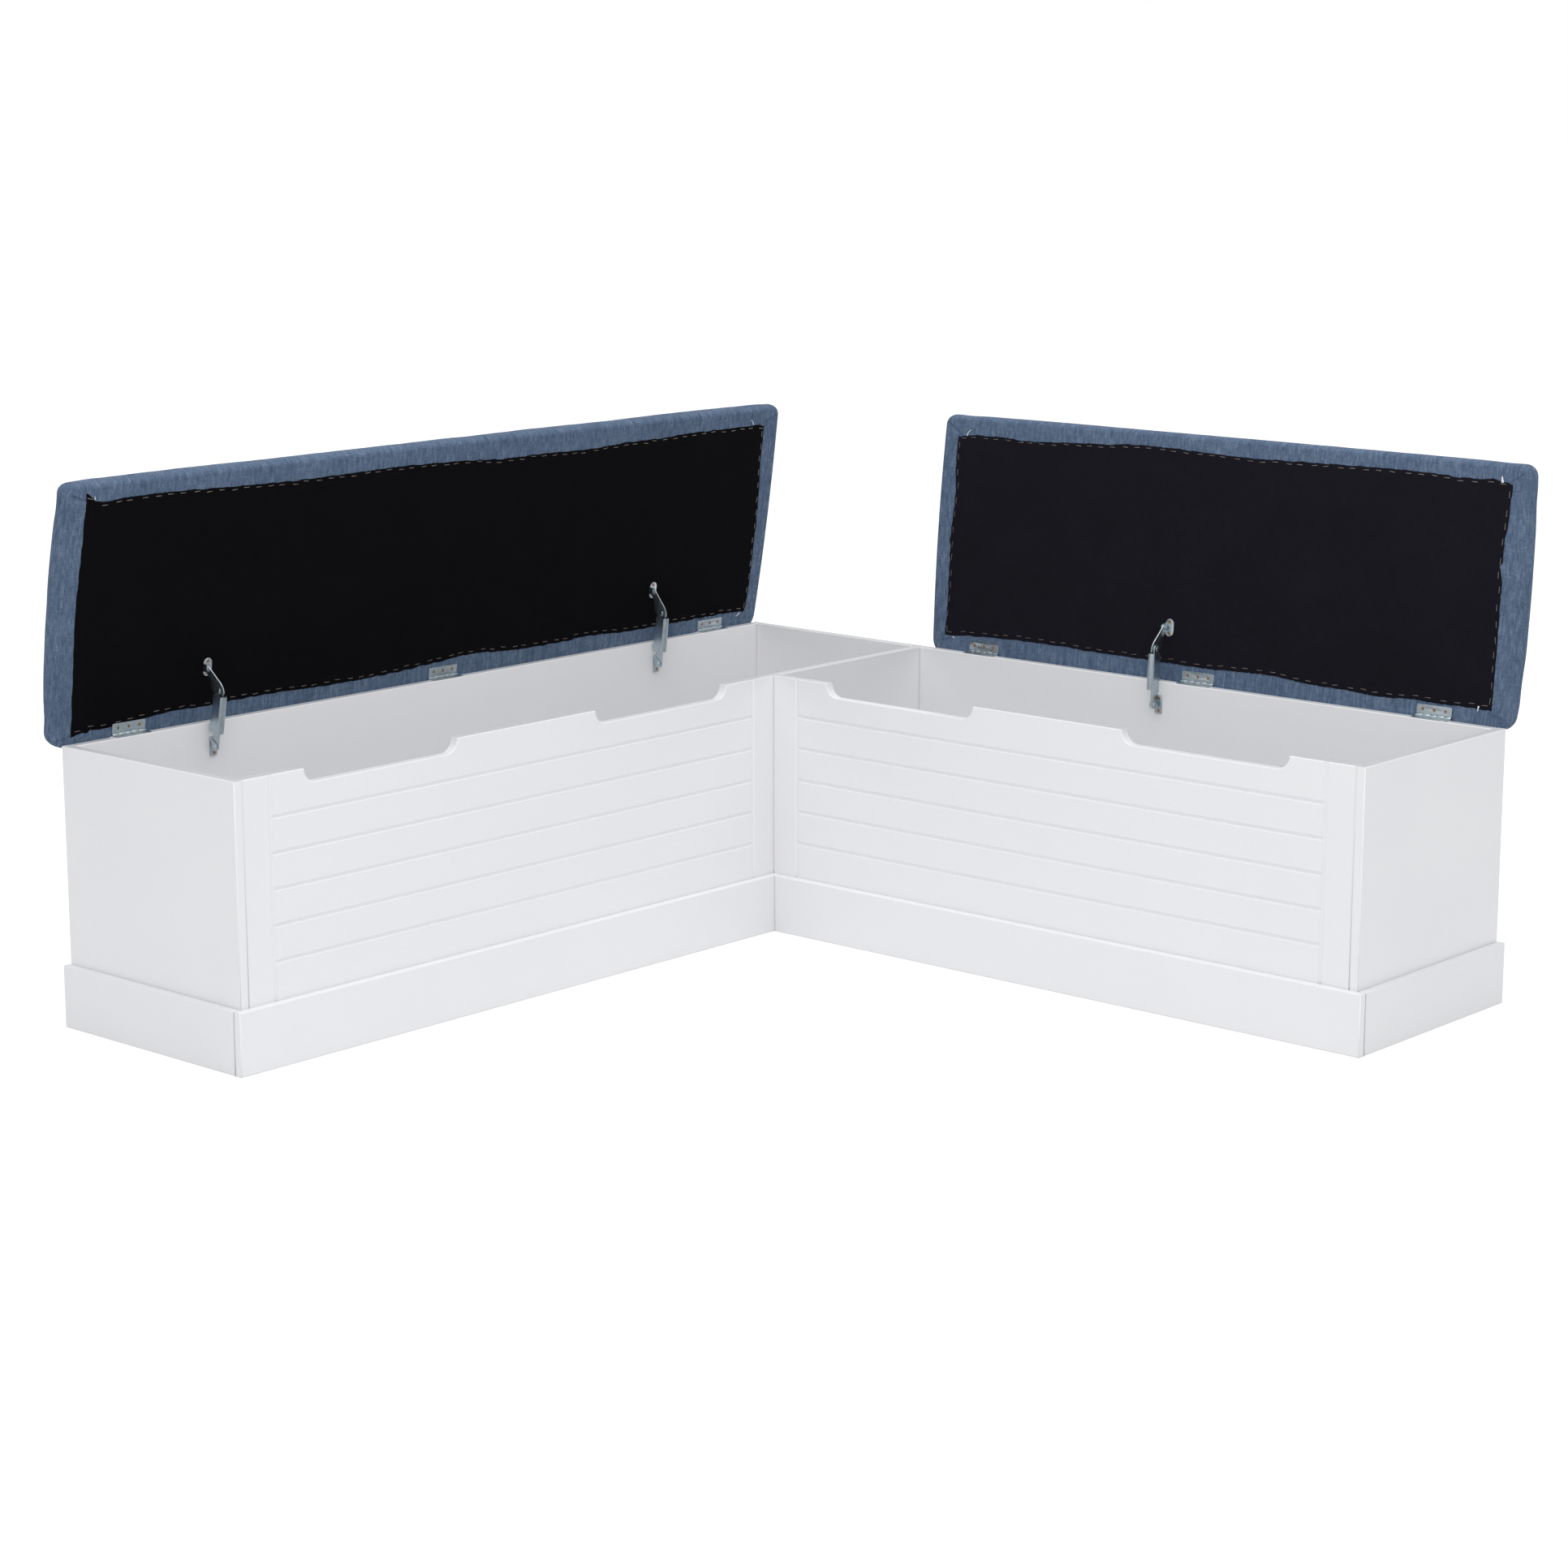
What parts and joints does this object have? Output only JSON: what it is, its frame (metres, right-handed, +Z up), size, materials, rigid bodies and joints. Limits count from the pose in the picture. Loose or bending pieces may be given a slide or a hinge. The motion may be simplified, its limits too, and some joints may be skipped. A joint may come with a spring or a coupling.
{
  "type": "corner storage bench",
  "caption": "L-shaped white storage bench with panelled fronts, finger notches, a plinth, and padded blue lids that open on hinges and folding stays.",
  "frame": {"origin": "on the floor in the outer back corner, halfway through the boards that meet there", "axes": "+Z up, left arm along -X, right arm along -Y, seats face -Y (left arm) and -X (right arm)"},
  "size_m": [1.6214, 1.5745, 0.8187],
  "materials": {
    "white_paint": "satin white lacquer on board",
    "blue_fabric": "slubbed denim-blue upholstery velvet",
    "black_cloth": "black non-woven dust cloth",
    "seat_foam": "upholstery foam",
    "lid_board": "bare particle board",
    "zinc_steel": "zinc-plated pressed steel"
  },
  "bodies": {
    "case": {"left_end": "white_paint", "left_back": "white_paint", "corner_end": "white_paint", "divider": "white_paint", "left_front": "white_paint", "left_bottom": "white_paint", "right_end": "white_paint", "right_back": "white_paint", "right_front": "white_paint", "right_bottom": "white_paint", "left_front_plinth": "white_paint", "left_end_plinth": "white_paint", "right_front_plinth": "white_paint", "right_end_plinth": "white_paint", "left_hinge_1_wall_leaf": "zinc_steel", "left_hinge_1_pin": "zinc_steel", "left_hinge_2_wall_leaf": "zinc_steel", "left_hinge_2_pin": "zinc_steel", "left_hinge_3_wall_leaf": "zinc_steel", "left_hinge_3_pin": "zinc_steel", "right_hinge_1_wall_leaf": "zinc_steel", "right_hinge_1_pin": "zinc_steel", "right_hinge_2_wall_leaf": "zinc_steel", "right_hinge_2_pin": "zinc_steel", "right_hinge_3_wall_leaf": "zinc_steel", "right_hinge_3_pin": "zinc_steel", "left_outer_stay_wall_bracket": "zinc_steel", "left_inner_stay_wall_bracket": "zinc_steel", "right_stay_wall_bracket": "zinc_steel"},
    "left_lid": {"left_lid_board": "lid_board", "left_lid_pad": "seat_foam", "left_lid_cover": "blue_fabric", "left_lid_dust_cloth": "black_cloth", "left_hinge_1_lid_leaf": "zinc_steel", "left_hinge_2_lid_leaf": "zinc_steel", "left_hinge_3_lid_leaf": "zinc_steel", "left_outer_stay_lid_bracket": "zinc_steel", "left_inner_stay_lid_bracket": "zinc_steel"},
    "right_lid": {"right_lid_board": "lid_board", "right_lid_pad": "seat_foam", "right_lid_cover": "blue_fabric", "right_lid_dust_cloth": "black_cloth", "right_hinge_1_lid_leaf": "zinc_steel", "right_hinge_2_lid_leaf": "zinc_steel", "right_hinge_3_lid_leaf": "zinc_steel", "right_stay_lid_bracket": "zinc_steel"},
    "left_outer_sleeve": {"left_outer_stay_lower_arm": "zinc_steel", "left_outer_stay_sleeve": "zinc_steel", "left_outer_stay_spring": "zinc_steel"},
    "left_inner_sleeve": {"left_inner_stay_lower_arm": "zinc_steel", "left_inner_stay_sleeve": "zinc_steel", "left_inner_stay_spring": "zinc_steel"},
    "right_sleeve": {"right_stay_lower_arm": "zinc_steel", "right_stay_sleeve": "zinc_steel", "right_stay_spring": "zinc_steel"},
    "left_outer_cam": {"left_outer_stay_cam_arm": "zinc_steel"},
    "left_inner_cam": {"left_inner_stay_cam_arm": "zinc_steel"},
    "right_cam": {"right_stay_cam_arm": "zinc_steel"}
  },
  "joints": [
    {"name": "left_lid_hinge", "type": "hinge", "parent": "case", "child": "left_lid", "pos_m": [-0.7575, 0.0107, 0.4265], "axis": [-1, 0, 0], "range_deg": [-81, 0]},
    {"name": "right_lid_hinge", "type": "hinge", "parent": "case", "child": "right_lid", "pos_m": [0.0107, -0.9525, 0.4265], "axis": [0, 1, 0], "range_deg": [-95, 0]},
    {"name": "left_outer_sleeve_turn", "type": "hinge", "parent": "case", "child": "left_outer_sleeve", "pos_m": [-1.2521, -0.0188, 0.388], "axis": [-1, 0, 0], "range_deg": [-75, 0]},
    {"name": "left_inner_sleeve_turn", "type": "hinge", "parent": "case", "child": "left_inner_sleeve", "pos_m": [-0.273, -0.0188, 0.388], "axis": [-1, 0, 0], "range_deg": [-83, 0]},
    {"name": "right_sleeve_turn", "type": "hinge", "parent": "case", "child": "right_sleeve", "pos_m": [-0.0188, -0.8797, 0.388], "axis": [0, 1, 0], "range_deg": [-89.5, 0]},
    {"name": "left_outer_cam_turn", "type": "hinge", "parent": "left_lid", "child": "left_outer_cam", "pos_m": [-1.2521, -0.00878, 0.50796], "axis": [-1, 0, 0], "range_deg": [0, 98]},
    {"name": "left_inner_cam_turn", "type": "hinge", "parent": "left_lid", "child": "left_inner_cam", "pos_m": [-0.273, -0.00964, 0.51339], "axis": [-1, 0, 0], "range_deg": [0, 100.5]},
    {"name": "right_cam_turn", "type": "hinge", "parent": "right_lid", "child": "right_cam", "pos_m": [0.0115, -0.8797, 0.51025], "axis": [0, 1, 0], "range_deg": [0, 114]}
  ],
  "couplings": [
    {"joint": "left_outer_sleeve_turn", "follows": "left_lid_hinge", "ratio": 0.9198},
    {"joint": "left_inner_sleeve_turn", "follows": "left_lid_hinge", "ratio": 1.0176},
    {"joint": "right_sleeve_turn", "follows": "right_lid_hinge", "ratio": 0.9344},
    {"joint": "left_outer_cam_turn", "follows": "left_lid_hinge", "ratio": -1.2037},
    {"joint": "left_inner_cam_turn", "follows": "left_lid_hinge", "ratio": -1.2307},
    {"joint": "right_cam_turn", "follows": "right_lid_hinge", "ratio": -1.1933}
  ]
}
